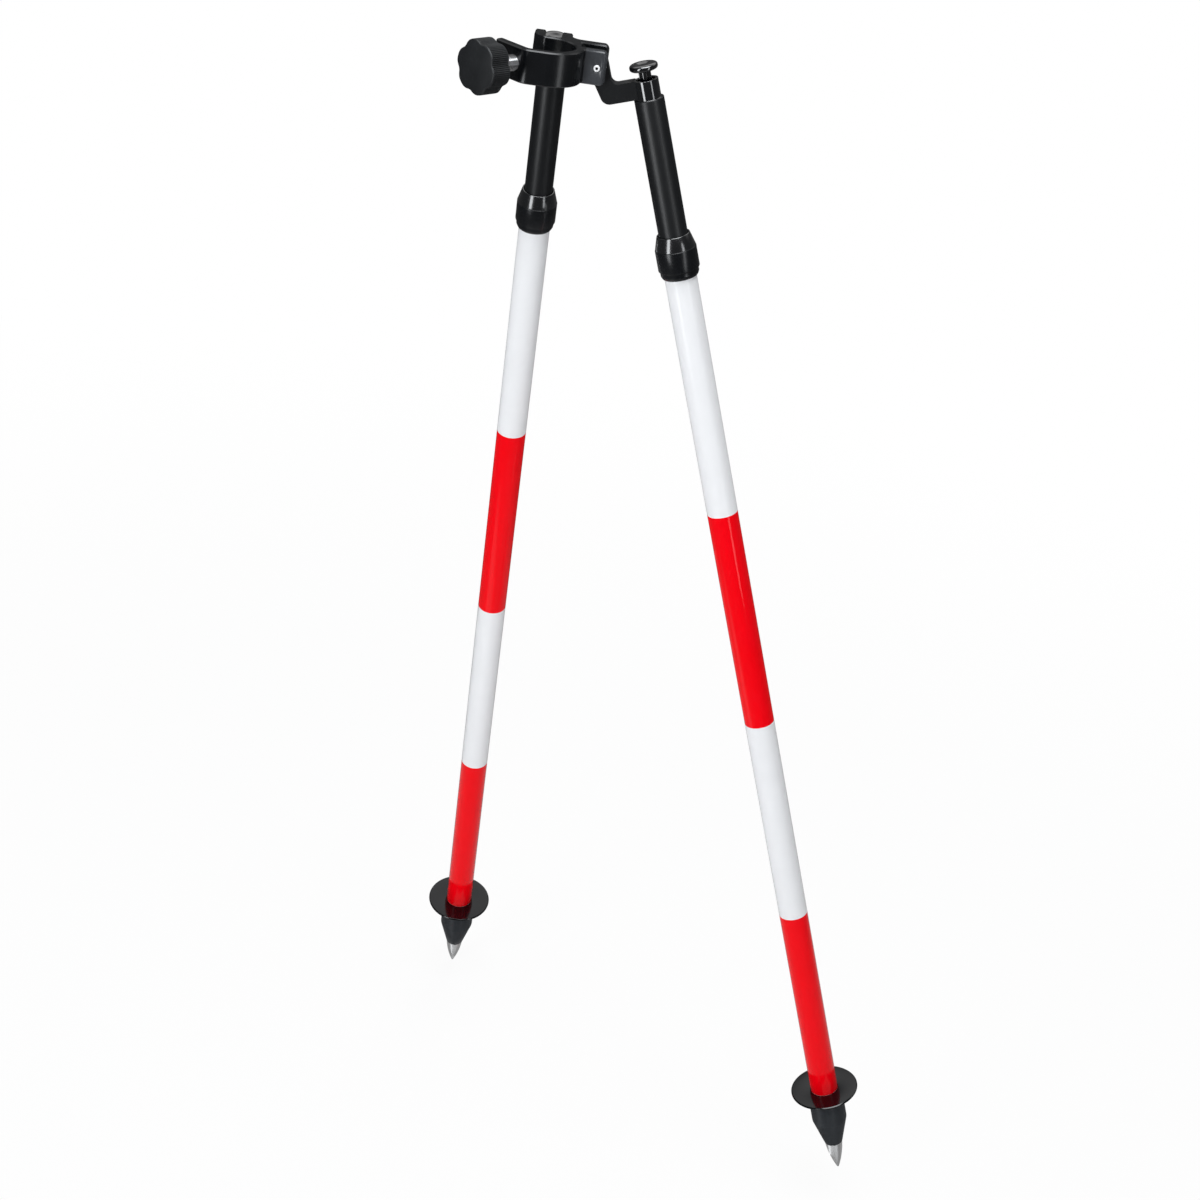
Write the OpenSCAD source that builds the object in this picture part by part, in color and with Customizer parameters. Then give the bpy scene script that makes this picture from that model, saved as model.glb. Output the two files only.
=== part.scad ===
// Prism pole bipod: a side-entry pole clamp that carries two telescopic legs.
// The pole's axis is Z and the clamp's middle is the origin. The right leg swings in the XZ plane
// and the left leg in the YZ plane. Each leg is drawn about its own pivot and then hung in place.

/* [Pole clamp] */
// diameter of the pole seat
seat_d = 40; // [36:0.5:42]
// height of the clamp along the pole
clamp_h = 25.5; // [23:0.5:30]
// wall of the seat ring and of the jaw arm
clamp_wall = 6.5; // [5.5:0.25:7.5]
// heading of the clamp screw, from the right leg's side towards the left leg's side
screw_heading = 48; // [45:1:51]
// distance of the screw's axis from the pole's axis
screw_offset = 5; // [4:0.25:6]
// distance of the jaw arm's inner face from the pole's axis
jaw_back = 24; // [23:0.25:28]
// distance of the lip's face from the pole's axis
lip_ahead = 11; // [9:0.2:12]
// length of the jaw arm past the screw's axis
arm_past_screw = 20.5; // [14:0.5:22]
// inside radius of the jaw arm's bend
bend_r = 5; // [4:0.25:7]

/* [Clevises] */
// slot between the ears of a clevis
slot_w = 12.5; // [11.5:0.25:13]
// thickness of one ear
ear_t = 8; // [7:0.25:9]
// distance of a pivot pin from the pole's axis
pivot_reach = 37; // [36:0.25:40]
// length of the ears past the pin
ear_past_pin = 7; // [5.5:0.25:8]
// sideways offset of the right clevis from the pole's axis
right_offset = 12.6; // [11.4:0.2:13.4]
// sideways offset of the left clevis from the pole's axis
left_offset = -1; // [-2:0.1:0]
// wall between the pole seat and the root of a slot
slot_root_wall = 3.5; // [3:0.25:5]
// rounding of the ears' tips, seen from the side
ear_tip_r = 4; // [3:0.25:5]
// rounding of the right clevis's outer corners, seen from above
right_corner_r = 3; // [2:0.25:4]
// rounding of the left clevis's outer corners, seen from above
left_corner_r = 4.6; // [2:0.1:5]
// rounding of the ears' corners at the slots, seen from above
slot_corner_r = 2.2; // [1:0.1:2.4]
// concave fillet where the two clevises meet
root_fillet_r = 8; // [4:0.25:9]

/* [Pivots] */
// diameter of a pivot pin
pin_d = 5; // [4.5:0.25:7]
// height of a pin's head above the ear
pin_proud = 0.6; // [0.4:0.1:1]
// diameter of a friction washer
washer_d = 14; // [12:0.5:16]
// thickness of a friction washer
washer_t = 0.9; // [0.7:0.05:0.95]

/* [Clamp screw] */
// diameter of the threaded stud
stud_d = 12; // [10:0.5:13]
// diameter of the stud's nose
nose_d = 7; // [5:0.25:8]
// length of the stud's nose
nose_len = 1.8; // [1.2:0.1:2]
// diameter of the pressure pad
pad_d = 14; // [13.5:0.5:17]
// thickness of the pressure pad
pad_t = 3; // [2.6:0.1:5]
// gap between the opened knob and the jaw arm
knob_gap = 20; // [17:0.5:24]
// thickness of the knob
knob_t = 17.2; // [15:0.1:20]
// radius over the knob's lobes
knob_tip_r = 20.2; // [19.6:0.2:24]
// radius at the knob's valleys
knob_valley_r = 18.1; // [16.1:0.2:19.3]
// turn of the knob at rest
knob_rest_turn = 42; // [0:1:59]
// number of lobes
lobe_count = 6; // [5:1:8]
// depth of the stud in the knob
stud_sunk = 12; // [8:0.5:13]

/* [Links] */
// thickness of a link
link_t = 10.5; // [9:0.25:10.5]
// radius of a link's boss
boss_r = 8; // [7.5:0.25:9]
// distance of a leg's axis from its pivot pin
leg_reach = 33.2; // [31:0.2:40]
// distance of the link's arm below the pin, to its middle
arm_drop = 23.6; // [22:0.2:26]
// height of the link's arm
arm_h = 14; // [12:0.5:15]
// distance of the elbow from the pin, sideways
elbow_out = 4.7; // [3:0.1:6]
// inside fillet of the dog-leg
elbow_fillet_r = 5; // [3:0.25:6]

/* [Leg tubes] */
// swing of the right leg away from the pole
right_tilt = 18; // [0:0.5:30]
// swing of the left leg away from the pole
left_tilt = 12; // [0:0.5:30]
// outside diameter of the lower tube
lower_d = 25.4; // [24.8:0.1:26]
// wall of the lower tube
lower_wall = 1; // [0.8:0.05:1]
// outside diameter of the upper tube
upper_d = 22.8; // [21.6:0.1:22.8]
// wall of the upper tube
upper_wall = 1.5; // [1.2:0.1:1.6]
// length of upper tube that shows when the leg is closed
exposed_len = 107; // [60:1:160]
// length of one painted band
band_len = 200; // [195:1:220]
// length of the first band that shows under the collar
first_band_len = 204.5; // [195:0.5:220]
// number of painted bands
band_count = 4; // [4:1:4]

/* [Thumb release] */
// diameter of the plug above the tube
plug_d = 18.9; // [18:0.1:19.4]
// height of the plug above the tube
plug_rise = 14.5; // [13:0.25:16]
// depth of the plug in the tube
plug_sunk = 66; // [62:1:90]
// diameter of the thumb button
button_d = 21.6; // [20:0.2:24]
// thickness of the thumb button
button_t = 5; // [4:0.25:6]
// diameter of the dish in the button's top
dish_d = 11; // [9:0.5:16]
// gap between the button and the plug
button_gap = 7; // [6.6:0.2:9]
// diameter of the button's stem
stem_d = 9.6; // [8.5:0.2:10]
// thickness of the stem's ribs
stem_rib_t = 3; // [2:0.25:4]
// diameter of the push rod
rod_d = 6; // [5:0.25:6.5]
// mean diameter of the return spring
spring_d = 10.4; // [10.2:0.1:11]
// wire diameter of the return spring
spring_wire = 1.4; // [1:0.1:1.5]
// number of turns of the return spring
spring_turns = 8; // [6:1:9]

/* [Brake] */
// gap between the brake cone and the foot when the leg is closed
foot_gap = 12.5; // [8:0.5:60]
// length of the collet in the upper tube
collet_sunk = 30; // [20:1:40]
// length of the collet below the upper tube
collet_len = 60; // [50:1:64]
// length of the collet's slots
collet_slot_len = 26; // [22:1:34]
// width of the collet's slots
collet_slot_w = 1.6; // [1:0.1:2.5]
// length of the brake cone's taper
cone_len = 20; // [16:0.5:21]
// small diameter of the brake cone
cone_top_d = 9.8; // [9:0.2:10.4]
// large diameter of the brake cone
cone_base_d = 15.8; // [14:0.2:17]
// height of the brake cone's base
cone_base_h = 2.5; // [2:0.25:4]

/* [Collars] */
// diameter of the collar's sleeve
sleeve_d = 32.6; // [31.6:0.1:38]
// height of the collar's sleeve
sleeve_h = 17; // [15:0.25:24]
// diameter of the ring below the sleeve
skirt_d = 30.4; // [29:0.1:31.4]
// height of the ring below the sleeve
skirt_h = 6.4; // [4:0.1:8]
// height of the collar's cap
cap_h = 11; // [7:0.25:14]
// diameter of the cap's top
cap_top_d = 26; // [25:0.1:30]
// outside diameter of the guide bush
bush_d = 29; // [27:0.25:30]
// length of the guide bush
bush_len = 12; // [8:0.25:14]

/* [Feet] */
// diameter of the foot plate
flange_d = 62; // [50:1:80]
// thickness of the foot plate
flange_t = 2.25; // [2:0.25:5]
// diameter of the foot's socket
socket_d = 32.5; // [30:0.5:36]
// height of the socket's straight part
socket_h = 33.5; // [30:0.5:50]
// height of the socket's taper
socket_taper_h = 28.5; // [18:0.5:32]
// height of the spigot in the lower tube
spigot_h = 33; // [20:1:33]
// diameter of the steel point
point_d = 16.5; // [14:0.25:18]
// length of the steel point
point_len = 34; // [24:0.5:40]
// bulge of the point's side over a straight cone
point_bulge = 1.4; // [0.8:0.1:1.6]
// diameter of the point's shank
shank_d = 10; // [8:0.25:11]
// length of the point's shank
shank_len = 22; // [15:1:30]

/* [Hidden] */
$fn = 96;
// clearances: a running fit, a fixed fit and a loose gap, each on the radius
run_clear = 0.08;
seat_clear = 0.04;
loose_clear = 0.3;
brake_clear = 0.1;
// length by which every cut runs past the solid
overrun = 1;

// colours
black_satin = [0.07, 0.07, 0.075];
black_gloss = [0.03, 0.03, 0.032];
black_plastic = [0.1, 0.1, 0.1];
silver = [0.82, 0.82, 0.83];
steel = [0.6, 0.61, 0.63];
nylon = [0.88, 0.87, 0.82];
band_white = [0.93, 0.93, 0.92];
band_red = [0.85, 0.1, 0.08];
brass = [0.75, 0.62, 0.3];

// the two legs
right = 0;
left = 1;
heading = [0, 90];
offsets = [right_offset, left_offset];
tilts = [right_tilt, left_tilt];
corner_r = [right_corner_r, left_corner_r];

// clamp
seat_r = seat_d / 2;
ring_r = seat_r + clamp_wall;
clevis_w = slot_w + 2 * ear_t;
ear_tip = pivot_reach + ear_past_pin;
slot_root = seat_r + slot_root_wall;
push_dir = [cos(screw_heading), sin(screw_heading)];
across_dir = [-sin(screw_heading), cos(screw_heading)];
bend_y = bend_r - seat_r;
bend_x = (bend_r - jaw_back - sin(screw_heading) * bend_y) / cos(screw_heading);
bend_at = [bend_x, bend_y];
pad_start = bend_at * across_dir;
pad_end = screw_offset + arm_past_screw;
mouth_run = 2 * seat_d;
arm_corner_share = 0.25;
arm_corner_r = clamp_wall * arm_corner_share;

// pivots and screw
pin_sink = 0.8;
dimple_share = 0.4;
pin_dimple_d = pin_d * dimple_share;
stud_proud = 0.2;
stud_end = stud_proud - jaw_back;
knob_back = -jaw_back - clamp_wall - knob_gap;
knob_edge_share = 0.025;
pad_edge_share = 0.2;
pad_edge = pad_t * pad_edge_share;
lobe_steps = 16;
valley_power = 2;
knob_wave = knob_tip_r - knob_valley_r;

// link
link_side_r = arm_h / 2;
elbow_at = [elbow_out, -arm_drop];
elbow_dist = norm(elbow_at);
elbow_dir = elbow_at / elbow_dist;
flank_sin = (boss_r - link_side_r) / elbow_dist;
flank_dir = elbow_dir * flank_sin + [elbow_dir.y, -elbow_dir.x] * sqrt(1 - flank_sin ^ 2);
tenon_share = 0.8;
tenon_d = link_t * tenon_share;
tenon_len = 2.5;
// the link's flank runs this far inside both rounds, so that it meets them at an angle
flank_inset = 0.06;

// heights along a leg's axis, from the pivot pin
arm_top_z = arm_h / 2 - arm_drop;
plug_below_arm = 0.5;
plug_top_z = arm_top_z - plug_below_arm;
tube_top_z = plug_top_z - plug_rise;
button_z = plug_top_z + button_gap;
collar_top_z = tube_top_z - exposed_len;
sleeve_top_z = collar_top_z - cap_h;
skirt_top_z = sleeve_top_z - sleeve_h;
collar_z = skirt_top_z - skirt_h;
first_end_z = collar_z - first_band_len;
flange_top_z = first_end_z - band_len * (band_count - 1);
foot_z = flange_top_z - flange_t;
spigot_top_z = foot_z + spigot_h;
cone_end_z = spigot_top_z + foot_gap;
collet_z = cone_end_z + cone_base_h;
tube_end_z = collet_z + collet_len;
lower_top_z = sleeve_top_z - bush_len;

// bores along a leg
upper_bore = upper_d - 2 * upper_wall;
lower_bore = lower_d - 2 * lower_wall;
cup_share = 0.78;
cup_d = plug_d * cup_share;
cup_depth_share = 0.2;
cup_depth = plug_rise * cup_depth_share;
rim_share = 0.035;
rim_chamfer = plug_d * rim_share;
chamber_share = 0.81;
chamber_d = plug_d * chamber_share;
stop_clear = 0.6;
stop_d = chamber_d - 2 * stop_clear;
stop_t = 3;
stop_gap = 0.3;
roof_share = 0.27;
chamber_top_z = tube_top_z - plug_sunk * roof_share;
stop_top_z = chamber_top_z - stop_gap;
plug_end_z = tube_top_z - plug_sunk;
seat_t = 4;
spring_top_z = stop_top_z - stop_t - stop_gap;
spring_bottom_z = plug_end_z + seat_t + stop_gap;
rod_sunk = 6;
cone_top_z = collet_z + cone_len;
dish_share = 0.25;
dish_depth = button_t * dish_share;
button_edge_share = 0.25;
button_edge = button_t * button_edge_share;
dish_sides = 192;
ogive_sides = 768;

// edges of the collar's lower ring and of the foot
skirt_edge_share = 0.25;
spigot_chamfer_share = 0.12;
blunt_share = 0.06;

// the helix of a return spring
wire_sides = 6;
rings_per_turn = 8;
spring_rings = spring_turns * rings_per_turn;
spring_low = spring_bottom_z + spring_wire / 2;
spring_rise = spring_top_z - spring_bottom_z - spring_wire;

// Places a child at a clevis, with its pin along Y.
module on_clevis(side) {
    rotate([0, 0, heading[side]])
        translate([pivot_reach, offsets[side], 0])
            children();
}

// Places a child on a hung leg, about the pivot pin.
module on_leg(side) {
    on_clevis(side)
        rotate([0, -tilts[side], 0])
            children();
}

// Places a child on a hung leg's own axis.
module on_axis(side) {
    on_leg(side)
        translate([leg_reach, 0, 0])
            children();
}

// Places a child on the clamp screw's axis, Z pointing into the jaw.
module on_screw() {
    rotate([0, 0, screw_heading])
        translate([0, screw_offset, 0])
            rotate([0, 90, 0])
                children();
}

// What is cut away to round an outer corner at the origin.
module corner_cut(r) {
    translate([-r, -r])
        difference() {
            square(r + overrun);
            circle(r);
        }
}

// What is added to fillet an inner corner at the origin.
module corner_fill(r) {
    difference() {
        square(r);
        translate([r, r])
            circle(r);
    }
}

// A straight tube or disc between two heights.
module tube(d, bore, low, high) {
    translate([0, 0, low])
        difference() {
            cylinder(d = d, h = high - low);
            translate([0, 0, -overrun])
                cylinder(d = bore, h = high - low + 2 * overrun);
        }
}

// A pin or hole along Y, centred.
module cross_pin(d, len) {
    rotate([90, 0, 0])
        cylinder(d = d, h = len, center = true);
}

// The plan of one clevis, before its slot is cut.
module clevis_plan(side) {
    rotate(heading[side])
        translate([0, offsets[side]])
            difference() {
                translate([0, -clevis_w / 2])
                    square([ear_tip, clevis_w]);
                for (flip = [0, 1])
                    mirror([0, flip])
                        translate([ear_tip, clevis_w / 2])
                            corner_cut(corner_r[side]);
            }
}

// A slot between two ears, with the ears' corners rounded at its mouth.
module slot_plan(side) {
    rotate(heading[side])
        translate([0, offsets[side]]) {
            translate([slot_root, -slot_w / 2])
                square([ear_tip - slot_root + overrun, slot_w]);
            for (flip = [0, 1])
                mirror([0, flip])
                    translate([ear_tip, -slot_w / 2])
                        corner_cut(slot_corner_r);
        }
}

// The jaw arm leaves the ring along -X and bends to face the screw.
module jaw_arm_plan() {
    wedge = 2 * (bend_r + clamp_wall);
    translate([bend_x, -ring_r])
        square([-bend_x, clamp_wall]);
    translate(bend_at)
        intersection() {
            difference() {
                circle(bend_r + clamp_wall);
                circle(bend_r);
            }
            polygon([[0, 0], [0, -wedge], [0, -wedge] - wedge * push_dir, -wedge * push_dir]);
        }
    rotate(screw_heading)
        difference() {
            translate([-jaw_back - clamp_wall, pad_start])
                square([clamp_wall, pad_end - pad_start]);
            translate([-jaw_back, pad_end])
                corner_cut(arm_corner_r);
            translate([-jaw_back - clamp_wall, pad_end])
                mirror([1, 0])
                    corner_cut(arm_corner_r);
        }
}

// The open mouth through which the pole enters sideways.
module mouth_plan() {
    bend_end = bend_at - bend_r * push_dir;
    translate(bend_at)
        circle(bend_r);
    polygon([
        [0, -seat_r],
        [bend_x, -seat_r],
        bend_end,
        bend_end + mouth_run * across_dir,
        lip_ahead * push_dir + mouth_run * across_dir,
        [0, lip_ahead / sin(screw_heading)]
    ]);
}

module clamp_plan() {
    difference() {
        union() {
            circle(ring_r);
            jaw_arm_plan();
            clevis_plan(right);
            clevis_plan(left);
            translate([clevis_w / 2 - left_offset, clevis_w / 2 + right_offset])
                corner_fill(root_fillet_r);
        }
        circle(seat_r);
        mouth_plan();
        slot_plan(right);
        slot_plan(left);
    }
}

// Cuts for one clevis: the pin's holes, their sinks and the rounded ear tips.
module clevis_cuts(side) {
    on_clevis(side) {
        cross_pin(pin_d + 2 * seat_clear, clevis_w + 2 * overrun);
        for (flip = [0, 1])
            mirror([0, flip, 0])
                translate([0, -clevis_w / 2, 0])
                    rotate([90, 0, 0])
                        translate([0, 0, -pin_sink])
                            cylinder(
                                d1 = pin_d + 2 * seat_clear,
                                d2 = pin_d + 2 * (seat_clear + pin_sink),
                                h = pin_sink
                            );
        for (flip = [0, 1])
            mirror([0, 0, flip])
                translate([ear_past_pin, 0, clamp_h / 2])
                    rotate([90, 0, 0])
                        linear_extrude(clevis_w + 2 * overrun, center = true)
                            corner_cut(ear_tip_r);
    }
}

module clamp_body() {
    color(black_satin)
        difference() {
            linear_extrude(clamp_h, center = true)
                clamp_plan();
            clevis_cuts(right);
            clevis_cuts(left);
            on_screw()
                translate([0, 0, -jaw_back - clamp_wall - overrun])
                    cylinder(d = stud_d + 2 * run_clear, h = clamp_wall + 2 * overrun);
        }
}

// How deep the knob's outline runs at a turn, from 0 on a lobe's tip to 1 in a valley.
function valley_depth(turn) = ((1 - cos(lobe_count * turn)) / 2) ^ valley_power;

// A wavy outline: broad lobes with narrower valleys between them.
module knob_plan() {
    points = lobe_count * lobe_steps;
    polygon([
        for (i = [0 : points - 1])
            let (turn = 360 * i / points, r = knob_tip_r - knob_wave * valley_depth(turn))
            [r * cos(turn + knob_rest_turn), r * sin(turn + knob_rest_turn)]
    ]);
}

module clamp_knob() {
    edge = knob_tip_r * knob_edge_share;
    color(black_plastic)
        on_screw()
            translate([0, 0, knob_back - knob_t])
                difference() {
                    intersection() {
                        linear_extrude(knob_t)
                            knob_plan();
                        rotate_extrude()
                            polygon([
                                [0, 0],
                                [knob_tip_r - 2 * edge, 0],
                                [knob_tip_r + 2 * edge, 2 * edge],
                                [knob_tip_r + 2 * edge, knob_t - 2 * edge],
                                [knob_tip_r - 2 * edge, knob_t],
                                [0, knob_t]
                            ]);
                    }
                    translate([0, 0, knob_t - stud_sunk])
                        cylinder(d = stud_d + 2 * seat_clear, h = stud_sunk + overrun);
                }
}

module clamp_screw() {
    low = knob_back - stud_sunk + seat_clear;
    color(silver)
        on_screw() {
            translate([0, 0, low])
                cylinder(d = stud_d, h = stud_end - low);
            translate([0, 0, stud_end - overrun])
                cylinder(d = nose_d, h = nose_len + overrun);
        }
}

module clamp_pad() {
    back = stud_end + seat_clear;
    color(nylon)
        on_screw()
            translate([0, 0, back])
                difference() {
                    rotate_extrude()
                        polygon([
                            [0, 0],
                            [pad_d / 2, 0],
                            [pad_d / 2, pad_t - pad_edge],
                            [pad_d / 2 - pad_edge, pad_t],
                            [0, pad_t]
                        ]);
                    translate([0, 0, -overrun])
                        cylinder(d = nose_d + 2 * run_clear, h = nose_len + overrun);
                }
}

module pivot_pin(side) {
    len = clevis_w + 2 * pin_proud;
    color(silver)
        on_clevis(side)
            difference() {
                rotate([90, 0, 0])
                    rotate_extrude()
                        polygon([
                            [0, -len / 2],
                            [pin_d / 2 - pin_proud, -len / 2],
                            [pin_d / 2, pin_proud - len / 2],
                            [pin_d / 2, len / 2 - pin_proud],
                            [pin_d / 2 - pin_proud, len / 2],
                            [0, len / 2]
                        ]);
                for (flip = [0, 1])
                    mirror([0, flip, 0])
                        translate([0, len / 2, 0])
                            cross_pin(pin_dimple_d, 2 * pin_dimple_d);
            }
}

// A friction washer between the link and one ear; end is 1 or -1 along the pin.
module friction_washer(side, end) {
    middle = (link_t + slot_w) / 4;
    color(nylon)
        on_clevis(side)
            translate([0, end * middle, 0])
                difference() {
                    cross_pin(washer_d, washer_t);
                    cross_pin(pin_d + 2 * run_clear, washer_t + 2 * overrun);
                }
}

// The dog-leg's outline in the plane of its swing.
module link_plan() {
    circle(boss_r);
    translate(elbow_at)
        circle(link_side_r);
    translate([elbow_out, -arm_drop - link_side_r])
        square([leg_reach - elbow_out, arm_h]);
    polygon([
        (boss_r - flank_inset) * flank_dir,
        elbow_at + (link_side_r - flank_inset) * flank_dir,
        elbow_at,
        [boss_r, -arm_drop],
        [boss_r, 0]
    ]);
    translate([boss_r, arm_top_z])
        corner_fill(elbow_fillet_r);
}

module link(side) {
    color(black_satin)
        on_leg(side) {
            difference() {
                rotate([90, 0, 0])
                    linear_extrude(link_t, center = true)
                        link_plan();
                cross_pin(pin_d + 2 * run_clear, link_t + 2 * overrun);
                translate([leg_reach, 0, -arm_drop - arm_h])
                    cylinder(d = plug_d + 2 * seat_clear, h = 2 * arm_h);
            }
            translate([leg_reach - plug_d / 2 - tenon_len, 0, -arm_drop])
                rotate([0, 90, 0])
                    cylinder(d = tenon_d, h = 2 * tenon_len);
        }
}

module top_plug(side) {
    spigot_r = upper_bore / 2 - seat_clear;
    color(black_gloss)
        on_axis(side)
            difference() {
                rotate_extrude()
                    polygon([
                        [stem_d / 2 + run_clear, plug_top_z - cup_depth],
                        [cup_d / 2 - rim_chamfer, plug_top_z - cup_depth],
                        [cup_d / 2, plug_top_z - cup_depth + rim_chamfer],
                        [cup_d / 2, plug_top_z],
                        [plug_d / 2 - rim_chamfer, plug_top_z],
                        [plug_d / 2, plug_top_z - rim_chamfer],
                        [plug_d / 2, tube_top_z],
                        [spigot_r, tube_top_z],
                        [spigot_r, plug_end_z],
                        [chamber_d / 2, plug_end_z],
                        [chamber_d / 2, chamber_top_z],
                        [stem_d / 2 + run_clear, chamber_top_z]
                    ]);
                translate([-plug_d / 2 - overrun, 0, -arm_drop])
                    rotate([0, 90, 0])
                        cylinder(d = tenon_d + 2 * seat_clear, h = tenon_len + overrun + seat_clear);
            }
}

module upper_tube(side) {
    color(black_satin)
        on_axis(side)
            tube(upper_d, upper_bore, tube_end_z, tube_top_z);
}

// The button's dished head stands on a stem that is ribbed where it shows.
module thumb_button(side) {
    rib_end_z = plug_top_z - cup_depth - rim_chamfer;
    dish_r = (dish_d ^ 2 / 4 + dish_depth ^ 2) / (2 * dish_depth);
    top_z = button_z + button_t;
    color(black_plastic)
        on_axis(side)
            difference() {
                union() {
                    difference() {
                        rotate_extrude()
                            polygon([
                                [0, button_z],
                                [button_d / 2 - button_edge, button_z],
                                [button_d / 2, button_z + button_edge],
                                [button_d / 2, top_z - button_edge],
                                [button_d / 2 - button_edge, top_z],
                                [0, top_z]
                            ]);
                        translate([0, 0, top_z - dish_depth + dish_r])
                            sphere(dish_r, $fn = dish_sides);
                    }
                    intersection() {
                        translate([0, 0, rib_end_z])
                            cylinder(d = stem_d, h = button_z - rib_end_z);
                        for (turn = [0, 90])
                            rotate([0, 0, turn])
                                translate([-stem_d / 2, -stem_rib_t / 2, rib_end_z])
                                    cube([stem_d, stem_rib_t, button_z - rib_end_z]);
                    }
                    translate([0, 0, stop_top_z])
                        cylinder(d = stem_d, h = rib_end_z - stop_top_z);
                    translate([0, 0, stop_top_z - stop_t])
                        cylinder(d = stop_d, h = stop_t);
                }
                translate([0, 0, stop_top_z - stop_t - overrun])
                    cylinder(d = rod_d + 2 * seat_clear, h = rod_sunk + overrun);
            }
}

module push_rod(side) {
    top_z = stop_top_z - stop_t + rod_sunk - seat_clear;
    color(steel)
        on_axis(side)
            translate([0, 0, cone_end_z])
                cylinder(d = rod_d, h = top_z - cone_end_z);
}

// One ring of the spring's wire at step i.
function wire_ring(i) =
    let (turn = 360 * i / rings_per_turn, z = spring_low + spring_rise * i / spring_rings)
    [for (j = [0 : wire_sides - 1])
        let (a = 360 * j / wire_sides, r = spring_d / 2 + spring_wire / 2 * cos(a))
        [r * cos(turn), r * sin(turn), z + spring_wire / 2 * sin(a)]];

module return_spring(side) {
    points = [for (i = [0 : spring_rings]) each wire_ring(i)];
    sides = [
        for (i = [0 : spring_rings - 1], j = [0 : wire_sides - 1])
            let (a = i * wire_sides + j, b = i * wire_sides + (j + 1) % wire_sides)
            [a, a + wire_sides, b + wire_sides, b]
    ];
    first_end = [for (j = [0 : wire_sides - 1]) j];
    last_end = [for (j = [wire_sides - 1 : -1 : 0]) spring_rings * wire_sides + j];
    color(steel)
        on_axis(side)
            polyhedron(points, concat(sides, [first_end], [last_end]));
}

module spring_seat(side) {
    color(steel)
        on_axis(side)
            tube(chamber_d - 2 * seat_clear, rod_d + 2 * loose_clear, plug_end_z, plug_end_z + seat_t);
}

// A split collet: a plain shank in the upper tube, then fingers that the cone spreads.
module brake_collet(side) {
    shank_r = upper_bore / 2 - seat_clear;
    brake_r = lower_bore / 2 - brake_clear;
    hole_r = rod_d / 2 + loose_clear;
    color(nylon)
        on_axis(side)
            difference() {
                rotate_extrude()
                    polygon([
                        [hole_r, tube_end_z + collet_sunk],
                        [shank_r, tube_end_z + collet_sunk],
                        [shank_r, tube_end_z],
                        [brake_r, tube_end_z],
                        [brake_r, collet_z],
                        [cone_base_d / 2 + loose_clear, collet_z],
                        [cone_top_d / 2 + loose_clear, cone_top_z],
                        [hole_r, cone_top_z]
                    ]);
                for (turn = [0, 90])
                    rotate([0, 0, turn])
                        translate([-lower_bore / 2, -collet_slot_w / 2, collet_z - overrun])
                            cube([lower_bore, collet_slot_w, collet_slot_len + overrun]);
            }
}

module brake_cone(side) {
    color(brass)
        on_axis(side)
            rotate_extrude()
                polygon([
                    [rod_d / 2 + seat_clear, cone_end_z],
                    [cone_base_d / 2, cone_end_z],
                    [cone_base_d / 2, collet_z],
                    [cone_top_d / 2, cone_top_z - seat_clear],
                    [rod_d / 2 + seat_clear, cone_top_z - seat_clear]
                ]);
}

// The lower tube is painted in equal bands, the first one under the collar.
module lower_tube(side) {
    on_axis(side) {
        color(band_white)
            tube(lower_d, lower_bore, first_end_z, lower_top_z);
        for (i = [1 : band_count - 1])
            color(i % 2 == 0 ? band_white : band_red)
                tube(
                    lower_d,
                    lower_bore,
                    i < band_count - 1 ? first_end_z - band_len * i : foot_z,
                    first_end_z - band_len * (i - 1)
                );
    }
}

// The sleeve grips the tube's top and holds the bush; its lower ring narrows to the tube.
module collar_sleeve(side) {
    skirt_edge = (skirt_d - lower_d) * skirt_edge_share;
    color(black_satin)
        on_axis(side)
            rotate_extrude()
                polygon([
                    [lower_d / 2 + seat_clear, collar_z],
                    [skirt_d / 2 - skirt_edge, collar_z],
                    [skirt_d / 2, collar_z + 2 * skirt_edge],
                    [skirt_d / 2, skirt_top_z],
                    [sleeve_d / 2, skirt_top_z],
                    [sleeve_d / 2, sleeve_top_z],
                    [bush_d / 2 + seat_clear, sleeve_top_z],
                    [bush_d / 2 + seat_clear, lower_top_z],
                    [lower_d / 2 + seat_clear, lower_top_z]
                ]);
}

module collar_cap(side) {
    hole_r = upper_d / 2 + 2 * loose_clear;
    color(black_gloss)
        on_axis(side)
            rotate_extrude()
                polygon([
                    [hole_r, sleeve_top_z],
                    [sleeve_d / 2, sleeve_top_z],
                    [cap_top_d / 2, collar_top_z],
                    [hole_r, collar_top_z]
                ]);
}

module guide_bush(side) {
    color(nylon)
        on_axis(side)
            tube(bush_d, upper_d + 2 * run_clear, lower_top_z, sleeve_top_z);
}

module foot_plate(side) {
    color(black_satin)
        on_axis(side)
            tube(flange_d, lower_d + 2 * loose_clear, foot_z, flange_top_z);
}

// The socket holds the tube on a spigot and carries the steel point.
module foot_socket(side) {
    taper_z = foot_z - socket_h;
    tip_z = taper_z - socket_taper_h;
    spigot_r = lower_bore / 2 - seat_clear;
    chamfer = spigot_r * spigot_chamfer_share;
    color(black_plastic)
        on_axis(side)
            difference() {
                rotate_extrude()
                    polygon([
                        [0, tip_z],
                        [point_d / 2 + loose_clear, tip_z],
                        [socket_d / 2, taper_z],
                        [socket_d / 2, foot_z],
                        [spigot_r, foot_z],
                        [spigot_r, spigot_top_z - chamfer],
                        [spigot_r - chamfer, spigot_top_z],
                        [0, spigot_top_z]
                    ]);
                translate([0, 0, tip_z - overrun])
                    cylinder(d = shank_d + 2 * seat_clear, h = shank_len + overrun);
            }
}

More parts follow.
